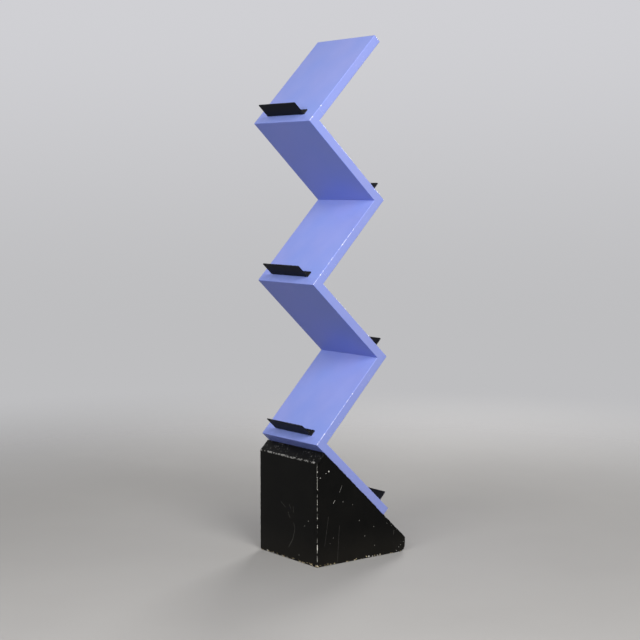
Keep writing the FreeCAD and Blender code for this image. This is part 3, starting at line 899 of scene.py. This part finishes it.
# %% Wear a board's paint
EDGE_REACH = 0.0013
LINE_FADE = 0.1
LINE_LENGTH = {2: 0.29, 4: 0.31, 6: 0.1}
BRIGHT_SPOTS = {2: (0.19, 0.03), 4: (0.027, 0.152), 6: (0.003, 0.05)}
BRIGHT_HALF = 0.004
CHIP_BORDER = 0.014
SEAM_HEIGHT = 0.052
SEAM_HALF = 0.0005


def rubbed_line(number, own, along):
    """How much a board's near front edge is rubbed, from its fold up to where hands stop."""
    reach_up = LINE_LENGTH.get(number, 0)
    return (reach_up - along).fade(0, LINE_FADE) * noise(own, 0.02, 3).fade(0.1, 0.4)


def board_wear(number, own, along, near, gaps):
    """Where a board's paint is gone down to the primer."""
    ragged = (noise(own, 0.0022) - 0.5) * 0.0008
    knocks = noise(own, 0.018, 3).fade(0.58, 0.78)
    front_edge = gaps.side + gaps.upper
    worn = rubbed(front_edge, EDGE_REACH, knocks.most(near * rubbed_line(number, own, along)), ragged)
    for spot_along in BRIGHT_SPOTS.get(number, ()):
        bright = near * (BRIGHT_HALF - abs(along - spot_along)).fade(0, 0.003)
        worn = worn.most(rubbed(front_edge, 2 * EDGE_REACH, bright, ragged))
    for gap, reach in ((gaps.side + gaps.under, 1), (gaps.fold, 1.5), (gaps.top, 1)):
        worn = worn.most(rubbed(gap, reach * EDGE_REACH, knocks, ragged))
    by_edge = (CHIP_BORDER - gaps.side.least(gaps.fold)).fade(0, 0.006)
    return worn.most(specks(own, spacing=0.016, radius=0.0011, share=0.16) * by_edge)


def edge_seam(board, along, gaps):
    """The fine line across a board's narrow edge, just above its front fold."""
    line = (SEAM_HALF - abs(along - (SEAM_HEIGHT - board.low_run))).fade(0, 0.0003)
    return line * on_face(gaps.side, 0.001, 0.0005)


print("bright spots on boards", list(BRIGHT_SPOTS))

# %% [markdown]
# The coat itself has two blues that drift into each other, and a paler tone in blotches. The narrow edges get a
# painted sheen, the undersides a painted shade of deeper blue, and the strip below each lip grime and a painted
# shadow of the lip. One flat blue would look like plastic. Raw wood shows where there is no paint, in the mitres
# and the slots. Each board has its own material, because the gaps are measured in its own axes.

# %% Paint the boards
PAINT_COOL = screen(129, 148, 221)
PAINT_WARM = screen(142, 152, 219)
PAINT_PALE = screen(156, 166, 229)
# Painted sheen: a paler blue on the narrow edges, where light glances off them.
PAINT_SIDE_SHEEN = screen(150, 159, 220)
# Painted shade: a deeper blue on the undersides.
PAINT_UNDER_SHADE = screen(119, 134, 223)
# Grime and the lip's painted shadow: a darker blue below each lip.
PAINT_GRIME_AND_SHADE = screen(96, 106, 168)
PRIMER = screen(226, 229, 244)
RAW_WOOD = screen(206, 174, 128)
COAT = (0.002, 0.003)


def board_coat(own, blotches, grime_and_shade, gaps):
    """The paint before it is worn."""
    color = noise(own, 0.22, 2).fade(0.3, 0.7).mix(PAINT_COOL, PAINT_WARM)
    color = (blotches.fade(0.4, 0.8) * 0.2).mix(color, PAINT_PALE)
    # Painted sheen on the narrow edges.
    color = (on_face(gaps.side, ARRIS, ARRIS) * 0.45).mix(color, PAINT_SIDE_SHEEN)
    # Painted shade on the undersides.
    color = (on_face(gaps.under) * 0.6).mix(color, PAINT_UNDER_SHADE)
    # Grime and painted shadow below each lip.
    return grime_and_shade.mix(color, PAINT_GRIME_AND_SHADE)


def board_depth(board, along, gaps):
    """How deep a point lies behind the painted faces."""
    depth = gaps.side.least(gaps.upper).least(gaps.under)
    depth = depth if board.low_run else depth.least(along)
    return depth if board.high_run else depth.least(board.length - along)


def board_finish(number):
    """A board's blue paint, with its wear."""
    board = boards[number]
    finish, shader, place = start_finish(f"lavender_paint_{number}")
    own = own_place(place, board.matrix)
    across, along, out = own.split()
    gaps = board_gaps(board, across, along, out)
    near = (across * board.matrix.col[0].x).fade(-0.01, 0.01)
    blotches = noise(own, 0.06)
    # Below each lip the blue is darker in mottled patches: grime and a painted shadow of the lip.
    below_lip = (lips[number].foot - along).fade(-0.002, 0.004) * on_face(gaps.upper)
    grime_and_shade = below_lip * noise(own, 0.03, 3).fade(0.3, 0.7) * 0.2
    bare = board_wear(number, own, along, near, gaps)

    color = board_coat(own, blotches, grime_and_shade, gaps)
    relief = noise(own, 0.0018) * 0.12 + noise(own, 0.012) * 0.25 - bare
    if number % 2 == 0:
        seam = edge_seam(board, along, gaps)
        color = (seam * 0.4).mix(color, PRIMER)
        relief = relief - seam
    color = bare.mix(color, PRIMER)
    color = board_depth(board, along, gaps).fade(*COAT).mix(color, RAW_WOOD)
    roughness = 0.36 + blotches * 0.12 + bare * 0.25 + grime_and_shade * 0.1
    connect(shader, color, roughness, bump(relief, FILM))
    shader.inputs["Specular IOR Level"].default_value = 0.35
    return finish


for number in BOARDS:
    wear_finish(painted[number], board_finish(number))
print("painted", len(painted), "boards")

# %% [markdown]
# ## Black paint on the base
#
# The base is satin black, and it has been kicked, dragged and carried. Its broad faces have dots and scratches of
# their own. Noise could scatter such marks, but then they would lie anywhere. These are set one by one, by their
# place on the face: a stroke is the distance from a point to a line between two ends, which is plain arithmetic.

# %% Note the marks on the base
SIDE_DOTS = (
    (-0.134, 0.297, 0.0032), (-0.145, 0.292, 0.0015), (-0.167, 0.280, 0.0016), (-0.078, 0.194, 0.0011),
    (-0.039, 0.180, 0.0011), (-0.012, 0.126, 0.0014), (0.010, 0.073, 0.0013), (-0.116, 0.085, 0.001),
    (0.047, 0.098, 0.0012), (0.051, 0.037, 0.0012), (0.027, 0.0045, 0.0038), (0.042, 0.003, 0.0026),
    (0.063, 0.003, 0.0024), (0.073, 0.0045, 0.002), (0.102, 0.101, 0.0009), (0.142, 0.006, 0.0015),
    (0.152, 0.0165, 0.0011), (0.160, 0.0225, 0.0012), (0.171, 0.031, 0.0011),
)
SIDE_SCRATCHES = (
    (-0.082, 0.246, -0.092, 0.226, 0.0014, 0.6), (-0.110, 0.203, -0.116, 0.194, 0.0022, 1),
    (-0.135, 0.155, -0.150, 0.064, 0.0012, 0.12), (-0.092, 0.121, -0.100, 0.004, 0.0012, 0.13),
    (0.131, 0.074, 0.130, 0.060, 0.0012, 0.35),
)
FRONT_SCRATCHES = (
    (0.030, 0.119, 0.037, 0.103, 0.0012, 0.25), (0.037, 0.103, 0.026, 0.067, 0.0012, 0.3),
    (0.026, 0.067, 0.002, 0.036, 0.0012, 0.3), (-0.037, 0.176, -0.013, 0.163, 0.0014, 0.2),
    (0.002, 0.145, 0.011, 0.133, 0.0014, 0.2), (0.028, 0.173, 0.030, 0.153, 0.0012, 0.2),
    (0.007, 0.175, 0.016, 0.162, 0.0012, 0.2),
)
FRONT_DOTS = (
    (0.107, 0.139, 0.0014), (0.088, 0.120, 0.0013), (0.058, 0.022, 0.0012), (-0.112, 0.004, 0.0036),
    (-0.079, 0.003, 0.0024), (-0.032, 0.003, 0.0022), (-0.006, 0.003, 0.0022),
)

print(len(SIDE_DOTS) + len(FRONT_DOTS), "dots and", len(SIDE_SCRATCHES) + len(FRONT_SCRATCHES), "scratches")

# %% [markdown]
# A mark is drawn from two coordinates of the face that it lies on. A dot is as large as its radius, and a scratch
# has a width and a strength, because most are only faint rubs. A little noise keeps their outlines from looking
# drawn.

# %% Draw dots and scratches
def stroke(u, v, start_u, start_v, end_u, end_v, width, ragged):
    """A scratch between two ends on a flat face."""
    run_u, run_v = end_u - start_u, end_v - start_v
    square = run_u ** 2 + run_v ** 2
    share = ((u - start_u) * (run_u / square) + (v - start_v) * (run_v / square)).most(0).least(1)
    off_u = u - start_u - share * run_u
    off_v = v - start_v - share * run_v
    return (width / 2 + ragged - off_u.hypot(off_v)).fade(0, width / 2)


def spot(u, v, middle_u, middle_v, radius, ragged):
    """A dot on a flat face."""
    gap = (u - middle_u).hypot(v - middle_v)
    return (radius + ragged - gap).fade(0, radius / 2)


def marks(u, v, dots, scratches, ragged):
    """All the marks on one flat face, each as strong as it looks."""
    shown = spot(u, v, *dots[0], ragged)
    for dot in dots[1:]:
        shown = shown.most(spot(u, v, *dot, ragged))
    for *ends, width, strength in scratches:
        shown = shown.most(stroke(u, v, *ends, width, ragged) * strength)
    return shown


print("widest scratch", max(scratch[4] for scratch in SIDE_SCRATCHES + FRONT_SCRATCHES), "m")

# %% [markdown]
# The edges are worn in different ways: the ridge in a ragged grey line, the near upright edge in pale dashes that
# are faint at the top, and the lower edges in chips that show yellowish wood. One mask for all of them would be
# simpler, but it would make every edge alike. Each has its own reach and its own noise. The bottoms of the dents
# are bare as well.

# %% Wear the base's edges
RIDGE_REACH = 0.0028
FRONT_EDGE_REACH = 0.0022
FOOT_REACH = 0.009
DENT_DEPTH = (0.0009, 0.0013)
CLEAR_OF_TOE = (0.011, 0.012)
CLEAR_OF_FLOOR = (0.004, 0.005)
FLAT = (0.0008, 0.0006)

BasePoint = namedtuple("BasePoint", "place x y z side front toe bevel slope ragged patches flecks")


def plane_gap(y, z, point, outward):
    """How far a point lies behind a plane that runs across the shelf."""
    return point.dot(outward) - y * outward.y - z * outward.z


def base_point(place):
    """A point on the base, its gaps to the outer planes, and the noise that several kinds of wear share."""
    x, y, z = place.split()
    bevel = plane_gap(y, z, ridge, bevel_out)
    slope = plane_gap(y, z, apex, slope_out)
    ragged = (noise(place, 0.003) - 0.5) * 0.002
    patches, flecks = noise(place, 0.03, 3), noise(place, 0.007, 3)
    return BasePoint(
        place, x, y, z, outer_x - abs(x), y - front_y, toe_y - y, bevel, slope, ragged, patches, flecks,
    )


def ridge_wear(p):
    """The ragged line along the ridge."""
    return rubbed(p.front + p.bevel, RIDGE_REACH, p.flecks.fade(0.43, 0.6), p.ragged * 1.5)


def edge_wear(p, depth):
    """Dashes along the upright and sloping edges, and the bottoms of the dents."""
    dashes = noise(p.place, 0.014, 3)
    below_ridge = (ridge.z - p.z).fade(-0.001, 0.03)
    near = p.x.fade(-0.01, 0.01)
    by_bevel = p.patches.fade(0.4, 0.6) * (near * 0.4 + 0.3) * p.front.fade(0.001, 0.006)
    worn = rubbed(p.side + p.front, FRONT_EDGE_REACH, dashes.fade(0.44, 0.6), p.ragged) * below_ridge
    for gap, reach, patches in (
        (p.side + p.bevel, 0.0019, by_bevel),
        (p.side + p.toe, 0.0019, dashes.fade(0.55, 0.7)),
        (p.toe + p.slope, 0.0025, dashes.fade(0.55, 0.7)),
        (p.side + p.slope, 0.0018, dashes.fade(0.6, 0.75)),
    ):
        worn = worn.most(rubbed(gap, reach, patches, p.ragged))
    dented = depth.fade(*DENT_DEPTH) * p.toe.fade(*CLEAR_OF_TOE) * p.z.fade(*CLEAR_OF_FLOOR)
    return worn.most(dented * below_ridge)


def foot_wear(p):
    """Chips along the lower edges."""
    gap = p.z + p.side.least(p.front).least(p.toe)
    return rubbed(gap, FOOT_REACH, p.flecks.fade(0.52, 0.66) * p.patches.fade(0.35, 0.5), p.ragged)


print("chips reach", FOOT_REACH, "m up from the floor")

# %% [markdown]
# All the panels share one material, because they were painted as one box. Over the black lie dust, a lighter warm
# tone low down that is dust and a painted reflection, fine scuffs on the bevel and by the toe, the worn edges, and
# the marks. Behind the paint, inside the base, the wood is raw.

# %% Paint the base
BLACK = screen(7, 7, 6)
# Dust and a painted warm reflection: a dark warm grey over the black.
BLACK_DUST_AND_REFLECTION = screen(46, 43, 38)
WORN_GREY = screen(140, 139, 136)
CHIP_WHITE = screen(222, 219, 211)
BARE_EDGE = screen(214, 198, 160)
BASE_COAT = (0.006, 0.008)
# How high the low dust and painted reflection reach.
DUST_AND_REFLECTION_HEIGHT = 0.12
SCUFF_LENGTH = 0.06
SCUFF_HEIGHT = 0.05
SCUFF_FADE = 0.03


def scuffs(p):
    """Fine scuffs on the bevel and by the toe."""
    by_toe = (SCUFF_LENGTH - p.toe).fade(0, SCUFF_FADE) * (SCUFF_HEIGHT - p.z).fade(0, SCUFF_FADE) * 2
    grain = noise(p.place, 0.006, 3).fade(0.6, 0.68)
    return on_face(p.bevel, 0.0012, 0.0008).most(by_toe) * grain * p.patches.fade(0.42, 0.55)


def scars(p):
    """The marks on the near side and the front, and a few specks all over."""
    ragged = p.ragged * 0.4
    shown = on_face(outer_x - p.x, *FLAT) * marks(p.y, p.z, SIDE_DOTS, SIDE_SCRATCHES, ragged)
    shown = shown.most(on_face(p.front, *FLAT) * marks(p.x, p.z, FRONT_DOTS, FRONT_SCRATCHES, ragged))
    return (shown * 0.8).most(specks(p.place, spacing=0.03, radius=0.0009, share=0.1) * 0.6)


def base_finish():
    """The black paint that all the base's panels share."""
    finish, shader, place = start_finish("black_paint")
    p = base_point(place)
    depth = p.side.least(p.front).least(p.bevel).least(p.slope)
    clouds = noise(place, 0.09, 3)
    wiped = streaks(place, (0.05, 0.05, 0.4), 3)
    # Lighter and warmer towards the floor: dust and a painted reflection.
    low_dust_and_reflection = (DUST_AND_REFLECTION_HEIGHT - p.z).fade(0, 0.14) * 0.3
    dust_and_reflection = clouds.fade(0.4, 0.75) * 0.06 + wiped.fade(0.5, 0.8) * 0.04 + low_dust_and_reflection
    ridge_worn, edge_worn, foot_worn = ridge_wear(p), edge_wear(p, depth), foot_wear(p)
    bare = ridge_worn.most(edge_worn).most(foot_worn)

    color = dust_and_reflection.mix(BLACK, BLACK_DUST_AND_REFLECTION)
    color = ridge_worn.most(scuffs(p) * 0.35).mix(color, WORN_GREY)
    color = edge_worn.mix(color, CHIP_WHITE)
    color = foot_worn.mix(color, BARE_EDGE)
    color = scars(p).mix(color, CHIP_WHITE)
    color = depth.least(p.toe).least(p.z).fade(*BASE_COAT).mix(color, RAW_WOOD)
    roughness = 0.42 + clouds * 0.14 + bare * 0.3 + dust_and_reflection * 0.2
    relief = noise(place, 0.002) * 0.12 + noise(place, 0.02) * 0.2 - bare
    connect(shader, color, roughness, bump(relief, FILM))
    shader.inputs["Specular IOR Level"].default_value = 0.08
    return finish


base_paint = base_finish()
for piece in black:
    wear_finish(piece, base_paint)
wear_finish(nodes["base_slope"], base_paint)
print("painted", len(black) + 1, "panels with", len(base_paint.node_tree.nodes), "nodes")

# %% [markdown]
# ## Black lips
#
# The lips are painted a flat satin black and rubbed grey along the free edge that magazines slide over. They could
# share the base's material, but that is worn by kicks. Each lip's wear is measured in its own axes, as on the
# boards.

# %% Paint the lips
LIP_BLACK = screen(12, 13, 17)
LIP_GREY = screen(78, 79, 86)
LIP_REACH = 0.0009


def lip_finish(number):
    """A lip's black paint, rubbed along its free edges."""
    lip = lips[number]
    finish, shader, place = start_finish(f"satin_black_{number}")
    own = own_place(place, lip_matrix(number))
    x, _, z = own.split()
    end_gap = lip.half_length - abs(x)
    leg_gap = (lip.leg - z).least(end_gap)
    patches = noise(own, 0.018, 3).fade(0.5, 0.7)
    ragged = (noise(own, 0.002) - 0.5) * 0.0008
    worn = rubbed(leg_gap, LIP_REACH, patches, ragged)
    film = noise(own, 0.03, 3)
    color = (film.fade(0.35, 0.75) * 0.04).mix(LIP_BLACK, LIP_GREY)
    color = (worn * 0.8).mix(color, LIP_GREY)
    roughness = 0.36 + film * 0.16 + worn * 0.15
    connect(shader, color, roughness, bump(noise(own, 0.0012) * 0.2 - worn, FILM))
    shader.inputs["Specular IOR Level"].default_value = 0.06
    return finish


for number in BOARDS:
    wear_finish(steel[number], lip_finish(number))
print("painted", len(steel), "lips")

# %% [markdown]
# ## The parts inside
#
# What is inside the shelf is seen only when it is taken apart, but it gets its finish all the same: bare wood with
# its grain along the longest side, rough iron, zinc-plated steel and turned brass. One function for wood and one
# for metal are enough, because only the colours, the grain and the gloss differ.

# %% Finish the parts inside
WOOD_DARK = screen(164, 124, 80)
GRAIN_WIDTH = 0.004
GRAIN_LENGTH = 0.18


def bare_wood(axis):
    """Sawn wood with its grain along one axis of the shelf."""
    finish, shader, place = start_finish(f"bare_wood_{'xyz'[axis]}")
    grains = [GRAIN_WIDTH] * 3
    grains[axis] = GRAIN_LENGTH
    lines = streaks(place, grains, 4)
    color = lines.fade(0.3, 0.7).mix(RAW_WOOD, WOOD_DARK)
    connect(shader, color, 0.6 + lines * 0.2, bump(lines, FILM))
    return finish


def metal(name, dull, bright, rough, grain, metallic):
    """Metal with a cloudy skin between two colours."""
    finish, shader, place = start_finish(name)
    skin = noise(place, grain, 4)
    connect(shader, skin.fade(0.3, 0.7).mix(dull, bright), rough + skin * 0.15, bump(skin, FILM))
    shader.inputs["Metallic"].default_value = metallic
    return finish


def longest_axis(node):
    """The axis along which a solid is longest."""
    low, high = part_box(node)
    spans = [b - a for a, b in zip(low, high)]
    return spans.index(max(spans))


wood = {axis: bare_wood(axis) for axis in range(3)}
metals = {
    "black_screw": metal("dark_screw", screen(26, 26, 28), screen(48, 48, 52), 0.4, 0.001, 0.6),
    "ballast_iron": metal("rough_iron", screen(58, 58, 60), screen(92, 91, 90), 0.6, 0.003, 0.7),
    "zinc_steel": metal("bright_zinc", screen(176, 178, 182), screen(206, 208, 211), 0.28, 0.004, 1),
    "insert_brass": metal("turned_brass", screen(190, 150, 84), screen(222, 188, 116), 0.25, 0.002, 1),
}
METAL_PARTS = {
    "ballast_plate": "ballast_iron", "tower_bolts": "zinc_steel", "tower_washers": "zinc_steel",
    "bottom_screws": "zinc_steel", "tower_inserts": "insert_brass",
}
METAL_PARTS.update({f"lip_screws_{number}": "black_screw" for number in BOARDS})
WOODEN_PARTS = ["base_bottom", "batten_front", "batten_left", "batten_right", "cleat_left", "cleat_right"]
WOODEN_PARTS += [f"fold_tongue_{fold}" for fold in FOLDS]
for node, slot in METAL_PARTS.items():
    wear_finish(nodes[node], metals[slot])
for node in WOODEN_PARTS:
    wear_finish(nodes[node], wood[longest_axis(node)])
print("finished", len(METAL_PARTS), "metal and", len(WOODEN_PARTS), "wooden solids")

# %% [markdown]
# ## The floor
#
# The shelf stands on a plain pale floor. A plain sheet would end in a hard horizon behind the shelf, so the floor
# is a matt disc that fades into the backdrop. It has two greys for what the camera sees, and a darker one for the
# light that it throws back, because a floor as light as it looks would brighten the undersides too much. A Light
# Path node tells these rays apart.

# %% Lay the floor
FLOOR_RADIUS = 9
FLOOR_SIDES = 96
FLOOR_FADE = (0.9, 4)
FLOOR_PALE = screen(168, 166, 164)
FLOOR_GREY = screen(161, 159, 157)
FLOOR_SHADE = screen(126, 125, 124)


def in_sight(flow):
    """1 for rays from the camera and for those that a mirror or glass sends on, 0 for the light on other things."""
    path = flow.node("ShaderNodeLightPath", output="Is Camera Ray")
    return path.most(path.beside("Is Glossy Ray")).most(path.beside("Is Transmission Ray"))


def floor_finish():
    """Matt grey that fades away towards the rim."""
    finish, shader, place = start_finish("studio_floor")
    x, y, _ = place.split()
    distance = x.hypot(y)
    dust = noise(place, 0.6, 3)
    color = in_sight(place).mix(FLOOR_SHADE, dust.mix(FLOOR_PALE, FLOOR_GREY))
    connect(shader, color, 0.7 + dust * 0.1, bump(noise(place, 0.004), FILM))
    shader.inputs["Specular IOR Level"].default_value = 0
    tree = finish.node_tree
    clear = place.node("ShaderNodeBsdfTransparent")
    fade = place.node(
        "ShaderNodeMixShader", inputs={0: distance.fade(*FLOOR_FADE), 1: Flow(shader.outputs[0]), 2: clear},
    )
    tree.links.new(fade.socket, tree.nodes["Material Output"].inputs["Surface"])
    return finish


bpy.ops.object.select_all(action="DESELECT")
bpy.ops.mesh.primitive_circle_add(vertices=FLOOR_SIDES, radius=FLOOR_RADIUS, fill_type="NGON")
floor = bpy.context.object
floor.name = "studio_floor"
wear_finish(floor, floor_finish())
floor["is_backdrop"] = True
print("floor", FLOOR_RADIUS, "m in radius")

# %% [markdown]
# ## Light and camera
#
# A single lamp would throw a hard shadow, and a bright world alone would flatten the folds. Two large softboxes to
# the right light the near edges most, one in front fills the boards' faces, and one behind lights the rear. A lamp
# that only grazes a face leaves noise on it, so each stands well in front of a face or well behind it. The world
# adds a little light from all round for the undersides, and shows as the pale backdrop.

# %% Set the light
BACKDROP_LOW = screen(190, 190, 192)
BACKDROP_HIGH = screen(208, 208, 212)
AMBIENT = 0.12


def softbox(name, place, aim, size, power):
    """A square lamp that faces a point."""
    lamp = bpy.data.lights.new(name, "AREA")
    lamp.shape = "SQUARE"
    lamp.size = size
    lamp.energy = power
    holder = bpy.data.objects.new(name, lamp)
    bpy.context.scene.collection.objects.link(holder)
    holder.location = place
    holder.rotation_euler = (Vector(aim) - Vector(place)).to_track_quat("-Z", "Y").to_euler()


def light_world():
    """Plain ambient light that shows as the pale backdrop."""
    world = bpy.data.worlds.new("studio")
    bpy.context.scene.world = world
    world.use_nodes = True
    tree = world.node_tree
    direction = Flow(tree.nodes.new("ShaderNodeTexCoord").outputs["Generated"])
    backdrop = direction.split()[2].fade(-0.1, 0.13).mix(BACKDROP_LOW, BACKDROP_HIGH)
    color = in_sight(direction).mix((AMBIENT, AMBIENT, AMBIENT, 1), backdrop)
    tree.links.new(color.socket, tree.nodes["Background"].inputs["Color"])


shelf_middle = (0, 0, cad_box[1][2] / 2)
light_world()
softbox("right", (3, -0.8, 2.6), shelf_middle, 1.6, 92)
softbox("right_front", (3.4, -2.4, 3), shelf_middle, 2, 52)
softbox("front", (1, -2.8, 2.2), shelf_middle, 1.6, 53)
softbox("rear", (-2.6, 3.4, 2.2), shelf_middle, 1.6, 170)
bpy.context.scene.view_settings.view_transform = "Standard"
print("four softboxes and ambient light of", AMBIENT)

# %% [markdown]
# The camera stands where the photograph was taken from: a little above the middle of the shelf, to its right, with
# a long lens. It could simply be aimed at the shelf, but then the two pictures wouldn't line up, so its place and
# turn were found by matching the corners of the boards and the base.

# %% Place the camera
IMAGE_WIDTH = 640
FOCAL_PIXELS = 1480.05
CAMERA_PLACE = (3.71353, -2.90771, 1.17585)
CAMERA_AZIMUTH = 52.4356
CAMERA_DROP = 5.175

camera = bpy.data.objects.new("camera", bpy.data.cameras.new("camera"))
bpy.context.scene.collection.objects.link(camera)
camera.location = CAMERA_PLACE
camera.rotation_euler = (math.radians(90 - CAMERA_DROP), 0, math.radians(CAMERA_AZIMUTH))
camera.data.lens = FOCAL_PIXELS / IMAGE_WIDTH * camera.data.sensor_width
bpy.context.scene.camera = camera
print("lens", round(camera.data.lens, 1), "mm")

# %% [markdown]
# ## The shelf's box
#
# The finish should not change the shelf's size, so the box of all that is shown is printed, as the box of the
# solids was at the start.

# %% Print the shown box
visual_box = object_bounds()
print("visual box", rounded(visual_box[0]), rounded(visual_box[1]))
